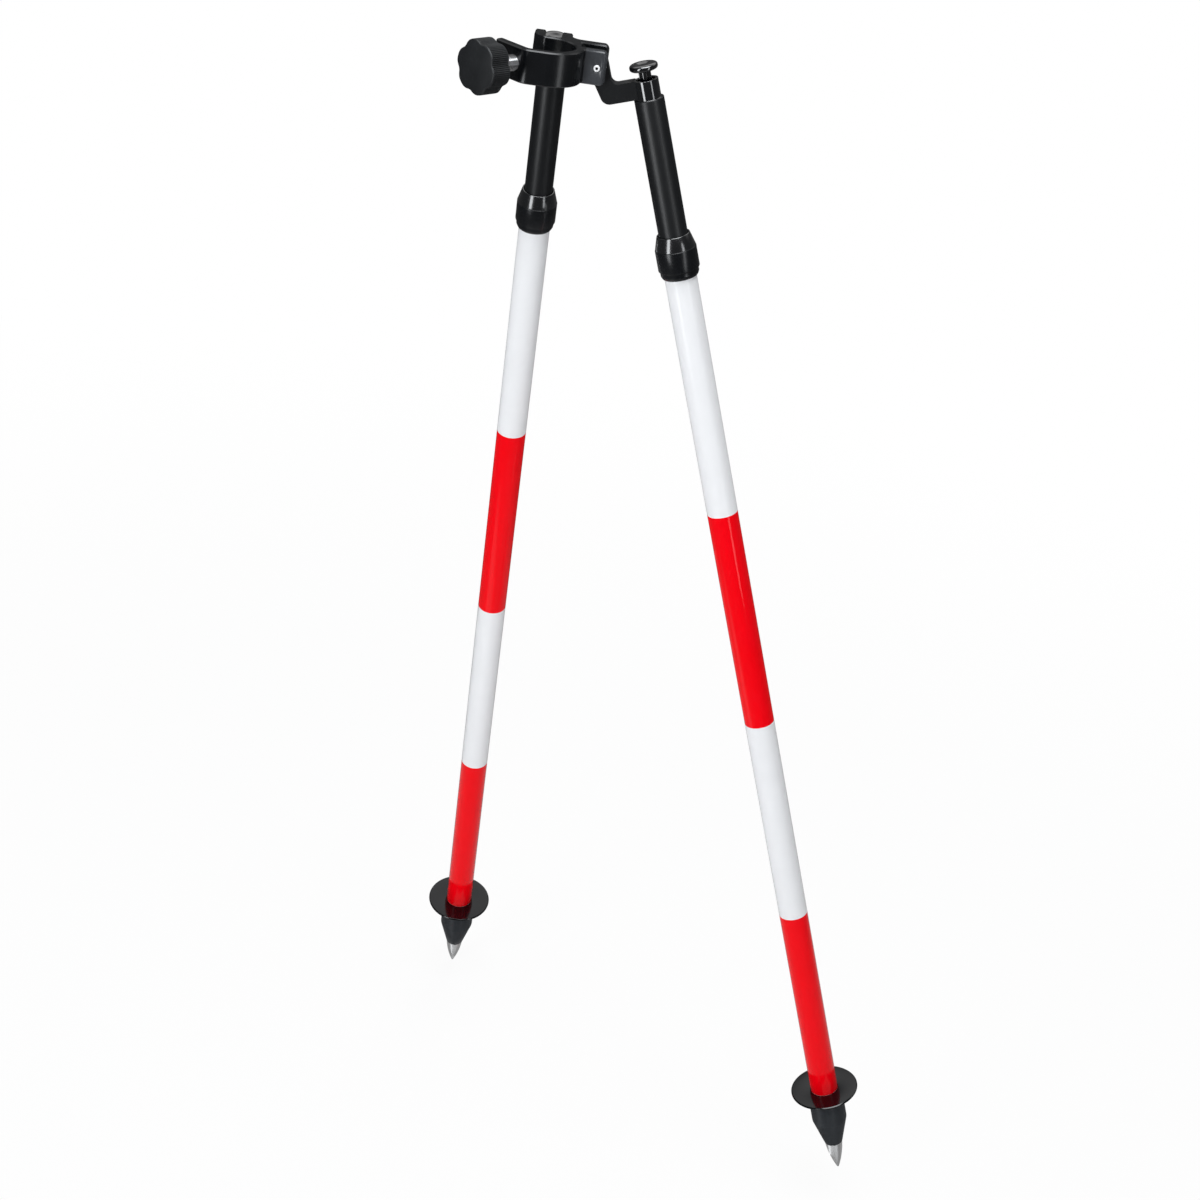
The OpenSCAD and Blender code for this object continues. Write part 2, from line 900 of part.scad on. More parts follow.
// The steel point: its side is an arc that bulges a little over a straight cone; the tip is blunt.
module foot_point(side) {
    base_z = foot_z - socket_h - socket_taper_h;
    point_r = point_d / 2;
    chord = norm([point_r, point_len]);
    outward = [point_len, -point_r] / chord;
    ogive_r = chord ^ 2 / (8 * point_bulge) + point_bulge / 2;
    ogive_at = [point_r, -point_len] / 2 + (point_bulge - ogive_r) * outward;
    blunt = point_len * blunt_share;
    color(steel)
        on_axis(side)
            translate([0, 0, base_z]) {
                rotate_extrude()
                    intersection() {
                        translate(ogive_at)
                            circle(ogive_r, $fn = ogive_sides);
                        translate([0, blunt - point_len])
                            square([point_r, point_len - blunt]);
                    }
                translate([0, 0, -overrun])
                    cylinder(d = shank_d, h = shank_len + overrun - seat_clear);
            }
}

clamp_body();
clamp_knob();
clamp_screw();
clamp_pad();
pivot_pin(right);  // right_pivot_pin
friction_washer(right, -1);  // right_front_washer
friction_washer(right, 1);  // right_back_washer
link(right);  // right_link
top_plug(right);  // right_top_plug
upper_tube(right);  // right_upper_tube
thumb_button(right);  // right_thumb_button
push_rod(right);  // right_push_rod
return_spring(right);  // right_return_spring
spring_seat(right);  // right_spring_seat
brake_collet(right);  // right_brake_collet
brake_cone(right);  // right_brake_cone
lower_tube(right);  // right_lower_tube
collar_sleeve(right);  // right_collar_sleeve
collar_cap(right);  // right_collar_cap
guide_bush(right);  // right_guide_bush
foot_plate(right);  // right_foot_plate
foot_socket(right);  // right_foot_socket
foot_point(right);  // right_foot_point
pivot_pin(left);  // left_pivot_pin
friction_washer(left, 1);  // left_front_washer
friction_washer(left, -1);  // left_back_washer
link(left);  // left_link
top_plug(left);  // left_top_plug
upper_tube(left);  // left_upper_tube
thumb_button(left);  // left_thumb_button
push_rod(left);  // left_push_rod
return_spring(left);  // left_return_spring
spring_seat(left);  // left_spring_seat
brake_collet(left);  // left_brake_collet
brake_cone(left);  // left_brake_cone
lower_tube(left);  // left_lower_tube
collar_sleeve(left);  // left_collar_sleeve
collar_cap(left);  // left_collar_cap
guide_bush(left);  // left_guide_bush
foot_plate(left);  // left_foot_plate
foot_socket(left);  // left_foot_socket
foot_point(left);  // left_foot_point
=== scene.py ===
# %% [markdown]
# # A prism pole bipod
# The bipod holds a surveying pole upright: an open clamp grips the pole, and two telescopic legs hang from it.
# The solids come ready-made in their places. This lesson softens their edges, turns the round pieces afresh,
# cuts a knurl and a thread, and gives every piece a finish of its own.

# %% Load the solids
import math

import bmesh
import bpy
from mathutils import Matrix, Vector


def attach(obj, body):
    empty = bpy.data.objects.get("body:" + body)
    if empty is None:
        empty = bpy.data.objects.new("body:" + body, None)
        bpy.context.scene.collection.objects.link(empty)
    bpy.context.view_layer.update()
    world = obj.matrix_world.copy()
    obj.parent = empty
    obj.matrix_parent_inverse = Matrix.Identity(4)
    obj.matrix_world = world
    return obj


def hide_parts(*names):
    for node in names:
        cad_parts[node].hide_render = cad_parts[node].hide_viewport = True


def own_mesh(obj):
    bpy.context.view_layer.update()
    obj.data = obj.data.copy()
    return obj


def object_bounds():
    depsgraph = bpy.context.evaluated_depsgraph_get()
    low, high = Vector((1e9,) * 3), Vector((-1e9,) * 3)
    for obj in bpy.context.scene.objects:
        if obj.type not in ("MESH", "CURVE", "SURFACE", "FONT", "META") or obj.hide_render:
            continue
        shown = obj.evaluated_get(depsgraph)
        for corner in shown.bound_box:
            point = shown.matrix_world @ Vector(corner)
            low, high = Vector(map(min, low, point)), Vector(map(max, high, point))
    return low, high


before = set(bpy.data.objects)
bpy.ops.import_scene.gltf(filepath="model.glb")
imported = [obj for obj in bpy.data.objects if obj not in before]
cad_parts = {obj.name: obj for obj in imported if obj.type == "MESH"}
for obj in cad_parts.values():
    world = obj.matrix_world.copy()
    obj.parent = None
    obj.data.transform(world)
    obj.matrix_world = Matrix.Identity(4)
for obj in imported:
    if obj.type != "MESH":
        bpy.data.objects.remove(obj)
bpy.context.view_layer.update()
MM = 0.001
SIDES = ("right", "left")

# %% [markdown]
# ## Where the legs, the pins and the screw are
# A round piece is easiest to describe about its own axis. One matrix per axis carries such a piece to its place, and
# the same matrix, read backwards, lets a finish know how far along the piece a point lies. Heights on a leg are
# counted from its pivot pin, in millimetres.

# %% The frames of the pieces
HEADING = {"right": 0, "left": 90}
OFFSET = {"right": 12.6, "left": -1.0}
TILT = {"right": 18, "left": 12}
PIVOT_REACH = 37.0
LEG_REACH = 33.2
SCREW_HEADING = 48
SCREW_OFFSET = 5


def clevis_place(side):
    turn = Matrix.Rotation(math.radians(HEADING[side]), 4, "Z")
    return turn @ Matrix.Translation(Vector((PIVOT_REACH, OFFSET[side], 0)) * MM)


def leg_place(side):
    swing = Matrix.Rotation(math.radians(-TILT[side]), 4, "Y")
    return clevis_place(side) @ swing @ Matrix.Translation((LEG_REACH * MM, 0, 0))


def screw_place():
    turn = Matrix.Rotation(math.radians(SCREW_HEADING), 4, "Z")
    return turn @ Matrix.Translation((0, SCREW_OFFSET * MM, 0)) @ Matrix.Rotation(math.radians(90), 4, "Y")


LEG = {side: leg_place(side) for side in SIDES}
PIN = {side: clevis_place(side) @ Matrix.Rotation(math.radians(90), 4, "X") for side in SIDES}
SCREW = screw_place()
for side in SIDES:
    print(side, "leg axis passes", tuple(round(x, 4) for x in LEG[side].translation))

# %% [markdown]
# ## A way to write finishes
# A finish is a small sum: some base value plus a little noise, squeezed along the direction in which the metal was
# drawn or turned. Writing it as a Python sum keeps it readable, so a wire from one node can be added to and
# multiplied, and each sum adds the Math node that does it.


# %% The wire class
class Wire:
    """One output of a node. Sums of wires add Math nodes."""

    def __init__(self, tree, socket):
        self.tree = tree
        self.socket = socket

    def node(self, kind, settings, inputs, output=0):
        made = self.tree.nodes.new("ShaderNode" + kind)
        for name, value in settings.items():
            setattr(made, name, value)
        for name, value in inputs.items():
            if isinstance(value, Wire):
                self.tree.links.new(value.socket, made.inputs[name])
            else:
                made.inputs[name].default_value = value
        return Wire(self.tree, made.outputs[output] if len(made.outputs) else None)

    def sum(self, operation, first, second):
        return self.node("Math", {"operation": operation}, {0: first, 1: second})

    def __add__(self, other):
        return self.sum("ADD", self, other)

    __radd__ = __add__

    def __sub__(self, other):
        return self.sum("SUBTRACT", self, other)

    def __rsub__(self, other):
        return self.sum("SUBTRACT", other, self)

    def __mul__(self, other):
        return self.sum("MULTIPLY", self, other)

    __rmul__ = __mul__

    def __truediv__(self, other):
        return self.sum("DIVIDE", self, other)

    def __lt__(self, other):
        return self.sum("LESS_THAN", self, other)

    def __mod__(self, other):
        return self.sum("FLOORED_MODULO", self, other)

    def mix(self, first, second):
        """Blends two colours, with this wire as the share of the second."""
        return self.node("Mix", {"data_type": "RGBA"}, {0: self, 6: first, 7: second}, output=2)

    def fade(self, start, end):
        """Rises smoothly from 0 to 1 while this wire goes from start to end."""
        return self.node(
            "MapRange", {"interpolation_type": "SMOOTHSTEP"},
            {"Value": self, "From Min": start, "From Max": end},
        )


def rgb(red, green, blue):
    return (red, green, blue, 1.0)


# %% [markdown]
# ## Noise that follows a piece
# Object coordinates are in metres here, and every object sits at the origin, so a point's coordinate is its place
# on the bipod. A Mapping node of the Texture type undoes a piece's own matrix. After it, z runs along the piece.
# Squeezing z stretches the noise into drawn lines, and squeezing x and y instead gives turned rings.


# %% Helpers for finishes
def start_finish(name, place):
    material = bpy.data.materials.new(name)
    material.use_nodes = True
    tree = material.node_tree
    tree.nodes.clear()
    spot = Wire(tree, None).node("TexCoord", {}, {}, output=3)
    turned_to = {"Location": place.translation, "Rotation": place.to_euler()}
    return material, spot.node("Mapping", {"vector_type": "TEXTURE"}, {"Vector": spot, **turned_to})


def noise(spot, scale, squeeze=(1, 1, 1), detail=3.0):
    squeezed = spot.node("Mapping", {"vector_type": "POINT"}, {"Vector": spot, "Scale": squeeze})
    return spot.node("TexNoise", {}, {"Vector": squeezed, "Scale": scale, "Detail": detail})


def radius_of(spot):
    flat = spot.node("VectorMath", {"operation": "MULTIPLY"}, {0: spot, 1: (1, 1, 0)})
    return spot.node("VectorMath", {"operation": "LENGTH"}, {0: flat}, output=1)


def part_of(spot, axis):
    return spot.node("SeparateXYZ", {}, {"Vector": spot}, output="XYZ".index(axis))


def bump(spot, height, depth, strength):
    return spot.node("Bump", {}, {"Strength": strength, "Distance": depth, "Height": height})


def end_finish(material, spot, **sockets):
    named = {name.replace("_", " "): value for name, value in sockets.items()}
    shader = spot.node("BsdfPrincipled", {}, named)
    spot.node("OutputMaterial", {}, {"Surface": shader})
    print("finish", material.name, "with", len(material.node_tree.nodes), "nodes")
    return material


ALONG = (1, 1, 0.02)
AROUND = (0.02, 0.02, 1)


# %% [markdown]
# ## Black anodised aluminium
# The clamp, the links, the upper tubes and the collars are anodised. The dye sits in the pores of the oxide, so the
# black is a touch uneven, and the lines left by drawing or turning show only where light grazes them. A flat black
# would look like a hole, so cloud, lines and grain each add a little. On the front of the ear that shows its rivet the
# black is painted paler, a painted highlight that stands in for the brighter light on that flat face.

# %% Satin black
BLACK_DYE = 0.0045
EAR_FROM, EAR_TO = 27 * MM, 28 * MM
EAR_FRONT, EAR_BACK = 3 * MM, 5 * MM


def satin_black(name, place, squeeze, shine=0.34, painted_ear_light=False):
    material, spot = start_finish(name, place)
    cloud = noise(spot, 90)
    lines = noise(spot, 2600, squeeze, detail=2)
    grain = noise(spot, 5200, detail=1)
    tone = BLACK_DYE
    colour = cloud.mix(rgb(tone * 0.65, tone * 0.8, tone * 1.05), rgb(tone * 0.85, tone * 1.05, tone * 1.4))
    # painted highlight: the front of the clamp's ear gets a paler black that stands in for the light on that face
    if painted_ear_light:
        ear = part_of(spot, "X").fade(EAR_FROM, EAR_TO) * (1.0 - part_of(spot, "Y").fade(EAR_FRONT, EAR_BACK))
        colour = ear.mix(colour, rgb(0.045, 0.048, 0.054))
    gloss = shine + 0.05 * lines + 0.05 * cloud
    normal = bump(spot, 0.7 * lines + 0.3 * grain, 0.01 * MM, 0.12)
    return end_finish(
        material, spot, Base_Color=colour, Roughness=gloss, Normal=normal, Specular_IOR_Level=0.5
    )


# %% [markdown]
# ## Gloss black
# The plugs, the thumb buttons, the collar caps and the foot plates are polished or enamelled black. Their colour is
# all but gone, and what is seen is the room: a low roughness and a faint orange peel do nearly everything.


# %% Gloss black
def gloss_black(name, place, shine=0.07, level=1.0, coat=1.0):
    material, spot = start_finish(name, place)
    cloud = noise(spot, 140)
    peel = noise(spot, 900, detail=1)
    colour = cloud.mix(rgb(0.0014, 0.0020, 0.0030), rgb(0.0026, 0.0034, 0.0048))
    gloss = shine + 0.05 * cloud
    normal = bump(spot, peel, 0.03 * MM, 0.2)
    return end_finish(
        material, spot, Base_Color=colour, Roughness=gloss, Normal=normal, Specular_IOR_Level=level,
        Coat_Weight=coat, Coat_Roughness=shine,
    )


# %% [markdown]
# ## Moulded plastic
# The knob and the foot sockets are moulded. A mould leaves a fine, even grain, and handling polishes it in patches.
# The nylon of the washers, bushes and the pad is left in its natural, slightly yellow white.


# %% Black plastic, nylon
def black_plastic(name, place, tone=0.008, shine=0.36, streak=0.0):
    material, spot = start_finish(name, place)
    cloud = noise(spot, 120)
    grain = noise(spot, 4200, detail=2)
    colour = cloud.mix(rgb(tone * 0.65, tone * 0.78, tone * 0.95), rgb(tone * 1.0, tone * 1.2, tone * 1.45))
    gloss = shine + 0.12 * cloud + 0.06 * grain
    normal = bump(spot, grain, 0.03 * MM, 0.3)
    return end_finish(
        material, spot, Base_Color=colour, Roughness=gloss, Normal=normal, Specular_IOR_Level=0.45,
        Anisotropic=streak, Anisotropic_Rotation=0.25,
    )


def natural_nylon(name, place):
    material, spot = start_finish(name, place)
    cloud = noise(spot, 200)
    colour = cloud.mix(rgb(0.70, 0.68, 0.60), rgb(0.80, 0.79, 0.73))
    normal = bump(spot, noise(spot, 3000), 0.04 * MM, 0.4)
    return end_finish(material, spot, Base_Color=colour, Roughness=0.45 + 0.15 * cloud, Normal=normal)


# %% [markdown]
# ## Bare metal
# The screw and the pivot pins are zinc plated, the foot points are turned from steel, and the brake cones are brass.
# Turning leaves fine rings round the axis, which spread the highlight into a streak along the piece. Inside a small
# radius the drilled middle of a pin is painted dark, as painted shade in the hole.


# %% Plated zinc, turned steel, brass
def bare_metal(name, place, dark, light, shine, squeeze, metal=1.0, streak=0.0, hole_shade_radius=None):
    material, spot = start_finish(name, place)
    rings = noise(spot, 2400, squeeze, detail=2)
    cloud = noise(spot, 160)
    colour = (0.6 * cloud + 0.4 * rings).mix(dark, light)
    # painted shade: inside the given radius the drilled hole of a pin is painted near black
    if hole_shade_radius:
        colour = (radius_of(spot) < hole_shade_radius * MM).mix(colour, rgb(0.02, 0.02, 0.02))
    gloss = shine + 0.06 * rings + 0.05 * cloud
    normal = bump(spot, rings, 0.01 * MM, 0.1)
    return end_finish(
        material, spot, Base_Color=colour, Roughness=gloss, Metallic=metal, Normal=normal,
        Anisotropic=streak, Anisotropic_Rotation=0.25,
    )


# %% [markdown]
# ## The painted bands
# The lower tubes carry red and white enamel in bands of 200 mm. The height along the leg, counted from the foot
# plate, says which colour a point has. The enamel is thick and glossy, with a slight orange peel, and the red was
# sprayed second, so its edge stands a hair proud.

# %% Banded enamel
FLANGE_TOP = -977.5
BAND = 200.0
EDGE_WAVER = 0.3


def banded_enamel(name, place):
    material, spot = start_finish(name, place)
    waver = noise(spot, 300, detail=1)
    bands = (part_of(spot, "Z") + EDGE_WAVER * MM * waver - FLANGE_TOP * MM) / (BAND * MM)
    red = ((bands % 2.0) < 1.0) * (bands < 3.5)
    cloud = noise(spot, 45)
    white = cloud.mix(rgb(0.855, 0.86, 0.875), rgb(0.895, 0.90, 0.915))
    scarlet = cloud.mix(rgb(0.92, 0.0004, 0.004), rgb(0.96, 0.0007, 0.008))
    colour = red.mix(white, scarlet)
    peel = noise(spot, 420, detail=1)
    gloss = 0.05 + 0.05 * cloud
    normal = bump(spot, peel + 0.4 * red, 0.02 * MM, 0.2)
    return end_finish(
        material, spot, Base_Color=colour, Roughness=gloss, Normal=normal, Specular_IOR_Level=0.22
    )


# %% [markdown]
# ## One finish for each axis
# The noise is laid along a piece's own axis, so a finish is made once for each axis that it is used on.

# %% All finishes
# the clamp's finish carries a painted highlight on the ear's front face
finish = {"clamp": satin_black("satin_black_clamp", Matrix.Identity(4), ALONG, shine=0.2, painted_ear_light=True)}
finish["knob"] = black_plastic("black_plastic_knob", SCREW, shine=0.42)
finish["stud"] = bare_metal("silver_stud", SCREW, rgb(0.74, 0.74, 0.75), rgb(0.90, 0.90, 0.91), 0.18, AROUND)
finish["pad"] = natural_nylon("nylon_pad", SCREW)
for side in SIDES:
    place = LEG[side]
    silver = (rgb(0.86, 0.86, 0.87), rgb(0.96, 0.96, 0.97), 0.46)
    # the pins carry painted shade in their drilled holes
    finish[side, "silver"] = bare_metal("silver_pin_" + side, PIN[side], *silver, AROUND, 0.2, hole_shade_radius=1.06)
    steel = (rgb(0.86, 0.86, 0.86), rgb(0.94, 0.94, 0.94), 0.46)
    finish[side, "steel"] = bare_metal("steel_" + side, place, *steel, AROUND, streak=0.92)
    brass = (rgb(0.55, 0.40, 0.15), rgb(0.68, 0.52, 0.22), 0.24)
    finish[side, "brass"] = bare_metal("brass_" + side, place, *brass, AROUND)
    finish[side, "drawn"] = satin_black("satin_black_drawn_" + side, place, ALONG)
    finish[side, "turned"] = satin_black("satin_black_turned_" + side, place, AROUND, shine=0.2)
    finish[side, "gloss"] = gloss_black("gloss_black_" + side, place)
    finish[side, "cap"] = gloss_black("gloss_black_cap_" + side, place, shine=0.16)
    finish[side, "plate"] = gloss_black("gloss_black_plate_" + side, place, shine=0.1, level=0.45, coat=0.0)
    finish[side, "plastic"] = black_plastic("black_plastic_" + side, place, tone=0.022, shine=0.4, streak=0.9)
    finish[side, "nylon"] = natural_nylon("nylon_" + side, place)
    finish[side, "bands"] = banded_enamel("banded_paint_" + side, place)

# %% [markdown]
# ## From a bmesh to a piece
# Every new piece ends the same way: smooth shading stops at sharp edges, and the piece takes the place of the solid
# that it stands for, on the same body.


# %% Finish a piece
def make_piece(mesh, name, body, node, material, sharp=35):
    data = bpy.data.meshes.new(name)
    for face in mesh.faces:
        face.smooth = True
    mesh.to_mesh(data)
    mesh.free()
    data.set_sharp_from_angle(angle=math.radians(sharp))
    data.materials.append(material)
    piece = bpy.data.objects.new(name, data)
    bpy.context.scene.collection.objects.link(piece)
    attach(piece, body)
    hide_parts(node)
    print(name, "for", node, "with", len(data.polygons), "faces")
    return piece


# %% [markdown]
# ## Soft edges on the sawn pieces
# The clamp and the links are cut from aluminium profile, and their edges are broken so that they don't cut hands.
# These narrow chamfers catch the light and draw the outline in the photograph. A merged copy of the solid is
# bevelled along its sharp edges, apart from those in the holes of the pins and of the screw.

# %% Bevel a copy of a solid
SHARP = math.radians(40)
FLAT = math.radians(0.5)


def soft_copy(name, body, node, material, width, keep_off):
    mesh = bmesh.new()
    mesh.from_mesh(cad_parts[node].data)
    bmesh.ops.remove_doubles(mesh, verts=mesh.verts, dist=1e-6)
    bmesh.ops.dissolve_limit(mesh, angle_limit=FLAT, verts=mesh.verts, edges=mesh.edges, delimit=set())
    edges = []
    for edge in mesh.edges:
        if len(edge.link_faces) != 2 or edge.calc_face_angle() < SHARP:
            continue
        middle = (edge.verts[0].co + edge.verts[1].co) / 2
        gaps = [((middle - at) - (middle - at).project(axis)).length for at, axis, _ in keep_off]
        if all(gap > radius for gap, (_, _, radius) in zip(gaps, keep_off)):
            edges.append(edge)
    bmesh.ops.bevel(
        mesh, geom=edges, offset=width * MM, offset_type="OFFSET", segments=1, profile=0.5,
        affect="EDGES", clamp_overlap=True, material=-1,
    )
    return make_piece(mesh, name, body, node, material)


def axis_line(place, radius):
    return place.translation, place.to_3x3() @ Vector((0, 0, 1)), radius * MM


NEAR_PIN, NEAR_SCREW = 4.6, 7
CLAMP_CHAMFER, LINK_CHAMFER = 0.9, 0.8
pin_holes = {side: axis_line(PIN[side], NEAR_PIN) for side in SIDES}
holes = [pin_holes["right"], pin_holes["left"], axis_line(SCREW, NEAR_SCREW)]
soft_copy("clamp_softened", "clamp", "clamp_body", finish["clamp"], CLAMP_CHAMFER, holes)
for side in SIDES:
    soft_copy(
        side + "_link_softened", side + "_upper", side + "_link", finish[side, "drawn"],
        LINK_CHAMFER, [pin_holes[side]],
    )

# %% [markdown]
# ## Turned pieces
# Tubes, collars, plugs and feet are round about an axis, so each is a profile that is spun once round it. The
# profile's corners are rounded first, with a bevel of its vertices, because a turned edge is never quite sharp. A
# profile that starts and ends on the axis is left open there, since the spin closes it.


# %% Spin a profile
def spin_profile(mesh, profile, rounding, steps=96):
    corners = [mesh.verts.new((r * MM, 0, z * MM)) for r, z in profile]
    on_axis = profile[0][0] == 0 and profile[-1][0] == 0
    ends = corners[1:] if on_axis else corners[1:] + corners[:1]
    edges = [mesh.edges.new(pair) for pair in zip(corners, ends)]
    rounded = [v for v in corners if v.co.x > 1e-6]
    made = bmesh.ops.bevel(
        mesh, geom=rounded, offset=rounding * MM, offset_type="OFFSET", segments=3, profile=0.5,
        affect="VERTICES", clamp_overlap=True, material=-1,
    )
    wire = {v for v in corners + made["verts"] if v.is_valid}
    wire |= {e for e in edges + made["edges"] if e.is_valid} | {e for v in wire for e in v.link_edges}
    bmesh.ops.spin(
        mesh, geom=list(wire), cent=(0, 0, 0), axis=(0, 0, 1), dvec=(0, 0, 0),
        angle=2 * math.pi, steps=steps, use_merge=True, use_duplicate=False,
    )
    bmesh.ops.remove_doubles(mesh, verts=mesh.verts, dist=1e-6)
    bmesh.ops.recalc_face_normals(mesh, faces=mesh.faces)


def turned(name, body, node, material, place, profile, rounding, steps=96):
    mesh = bmesh.new()
    spin_profile(mesh, profile, rounding, steps)
    bmesh.ops.transform(mesh, matrix=place, verts=mesh.verts)
    return make_piece(mesh, name, body, node, material)


# %% [markdown]
# ## The leg tubes
# The upper tube is drawn aluminium, dyed black, and slides in the lower tube, which is sprayed in bands. Both are
# plain walls with a broken edge.

# %% Tubes
TUBE_TOP = -31.6
TUBE_END = -871.75
SLEEVE_TOP = -149.6
LOWER_TOP = -161.6
FOOT = -979.75
UPPER_IN, UPPER_OUT = 9.9, 11.4
LOWER_IN, LOWER_OUT = 11.7, 12.7
for side in SIDES:
    turned(
        side + "_upper_tube_drawn", side + "_upper", side + "_upper_tube", finish[side, "drawn"],
        LEG[side], [(UPPER_IN, TUBE_END), (UPPER_OUT, TUBE_END), (UPPER_OUT, TUBE_TOP), (UPPER_IN, TUBE_TOP)], 0.4,
    )
    turned(
        side + "_lower_tube_painted", side + "_lower", side + "_lower_tube", finish[side, "bands"],
        LEG[side], [(LOWER_IN, FOOT), (LOWER_OUT, FOOT), (LOWER_OUT, LOWER_TOP), (LOWER_IN, LOWER_TOP)], 0.2,
    )

# %% [markdown]
# ## The collars
# A sleeve is pressed on the lower tube's top and carries the bush that guides the upper tube. Its cap tapers to the
# tube. The cap is polished and the sleeve is left satin, so the joint between them shows as a line.

# %% Collar sleeve and cap
COLLAR_TOP = -138.6
SKIRT_TOP = -166.6
COLLAR_LOW = -173.0
for side in SIDES:
    turned(
        side + "_collar_sleeve_turned", side + "_lower", side + "_collar_sleeve",
        finish[side, "turned"], LEG[side],
        [
            (12.74, COLLAR_LOW), (13.95, COLLAR_LOW), (15.2, COLLAR_LOW + 2.5), (15.2, SKIRT_TOP),
            (16.3, SKIRT_TOP), (16.3, SLEEVE_TOP), (14.54, SLEEVE_TOP), (14.54, LOWER_TOP), (12.74, LOWER_TOP),
        ], 0.5,
    )
    turned(
        side + "_collar_cap_turned", side + "_lower", side + "_collar_cap", finish[side, "cap"],
        LEG[side], [(12.0, SLEEVE_TOP), (16.1, SLEEVE_TOP), (13.0, COLLAR_TOP), (12.0, COLLAR_TOP)], 0.4,
    )

# %% [markdown]
# ## The feet
# A round plate takes the shoe that treads the leg in. Under it a moulded socket tapers to a steel point. The point's
# side is an arc that bulges a little over a straight cone, so its profile is worked out from that arc.

# %% Foot plate, socket and point
TAPER = -1013.25
SOCKET_LOW = -1041.75
POINT_R, POINT_LEN, BULGE = 8.25, 34.0, 1.4
SHANK_R, SHANK_LEN = 5.0, 21.9
PLATE_HOLE, PLATE_R, PLATE_TOP = 13.0, 31.0, FOOT + 2.25
SOCKET_R, SPIGOT_R, SPIGOT_TOP = 16.25, 11.66, FOOT + 33


def point_profile(rows=14, blunt=0.06):
    rise = [blunt + (1 - blunt) * i / rows for i in range(rows + 1)]
    side_r = [POINT_R * t + 4 * BULGE * t * (1 - t) for t in rise]
    arc = [(r, SOCKET_LOW - POINT_LEN * (1 - t)) for r, t in zip(side_r, rise)]
    shank_top = SOCKET_LOW + SHANK_LEN
    return [(0, arc[0][1])] + arc + [(SHANK_R, SOCKET_LOW), (SHANK_R, shank_top), (0, shank_top)]


for side in SIDES:
    body = side + "_lower"
    turned(
        side + "_foot_plate_turned", body, side + "_foot_plate", finish[side, "plate"], LEG[side],
        [
            (PLATE_HOLE, FOOT), (PLATE_R - 0.8, FOOT), (PLATE_R, FOOT + 0.7), (PLATE_R, PLATE_TOP - 0.75),
            (PLATE_R - 0.9, PLATE_TOP), (PLATE_HOLE, PLATE_TOP),
        ], 0.1, steps=128,
    )
    turned(
        side + "_foot_socket_turned", body, side + "_foot_socket", finish[side, "plastic"],
        LEG[side],
        [
            (SHANK_R + 0.04, SOCKET_LOW), (POINT_R + 0.3, SOCKET_LOW), (SOCKET_R, TAPER), (SOCKET_R, FOOT),
            (SPIGOT_R, FOOT), (SPIGOT_R, SPIGOT_TOP - 1.4), (SPIGOT_R - 1.4, SPIGOT_TOP),
            (SHANK_R + 0.04, SPIGOT_TOP),
        ], 0.6,
    )
    turned(
        side + "_foot_point_turned", body, side + "_foot_point", finish[side, "steel"], LEG[side],
        point_profile(), 0.25,
    )

# %% [markdown]
# ## The thumb releases
# A glossy plug closes the upper tube, and a button stands in it. Pressing the button frees the leg's brake. The
# button's head has a fat rounded rim round a dish for the thumb, and its stem is a moulded cross.

# %% Plug and thumb button
PLUG_TOP = -17.1
BUTTON = -10.1
PLUG_DEEP = 66
PLUG_LOW = TUBE_TOP - PLUG_DEEP
CUP = PLUG_TOP - 2.9
CHAMBER = TUBE_TOP - PLUG_DEEP * 0.27
STOP_TOP = CHAMBER - 0.3
HEAD = [
    (0, 3.75), (3.0, 3.8), (4.7, 4.5), (5.9, 5.0), (8.4, 4.9), (10.0, 4.4), (10.8, 3.4), (10.8, 1.2), (9.6, 0), (0, 0),
]
RIB_WIDE, RIB_THICK, RIB_EDGE = 9.3, 2.9, 0.5


def stem_rib(mesh, turn, low, high):
    size = Matrix.Diagonal((RIB_WIDE * MM, RIB_THICK * MM, (high - low) * MM, 1))
    middle = Matrix.Translation((0, 0, (low + high) / 2 * MM))
    place = Matrix.Rotation(math.radians(turn), 4, "Z") @ middle @ size
    made = bmesh.ops.create_cube(mesh, size=1, matrix=place)
    edges = list({edge for vert in made["verts"] for edge in vert.link_edges})
    bmesh.ops.bevel(
        mesh, geom=edges, offset=RIB_EDGE * MM, offset_type="OFFSET", segments=2, profile=0.5, affect="EDGES",
        clamp_overlap=True, material=-1,
    )


for side in SIDES:
    turned(
        side + "_top_plug_turned", side + "_upper", side + "_top_plug", finish[side, "gloss"],
        LEG[side],
        [
            (4.88, CUP), (7.37, CUP), (7.37, PLUG_TOP), (9.45, PLUG_TOP), (9.45, TUBE_TOP), (9.86, TUBE_TOP),
            (9.86, PLUG_LOW), (7.65, PLUG_LOW), (7.65, CHAMBER), (4.88, CHAMBER),
        ], 0.5,
    )
    mesh = bmesh.new()
    spin_profile(mesh, [(r, BUTTON + z) for r, z in HEAD], 0.7)
    stem = CUP - 0.4
    stop = [(0, STOP_TOP - 3), (7.05, STOP_TOP - 3), (7.05, STOP_TOP), (4.8, STOP_TOP), (4.8, stem), (0, stem)]
    spin_profile(mesh, stop, 0.2)
    for turn in (0, 90):
        stem_rib(mesh, turn, CUP - 0.8, BUTTON + 0.4)
    bmesh.ops.transform(mesh, matrix=LEG[side], verts=mesh.verts)
    make_piece(
        mesh, side + "_thumb_button_moulded", side + "_button", side + "_thumb_button",
        finish[side, "gloss"],
    )

# %% [markdown]
# ## Pivot pins and washers
# Each leg swings on a riveted pin. Its head is domed over a countersink and drilled in the middle. A nylon washer on
# either side of the link keeps the swing stiff.

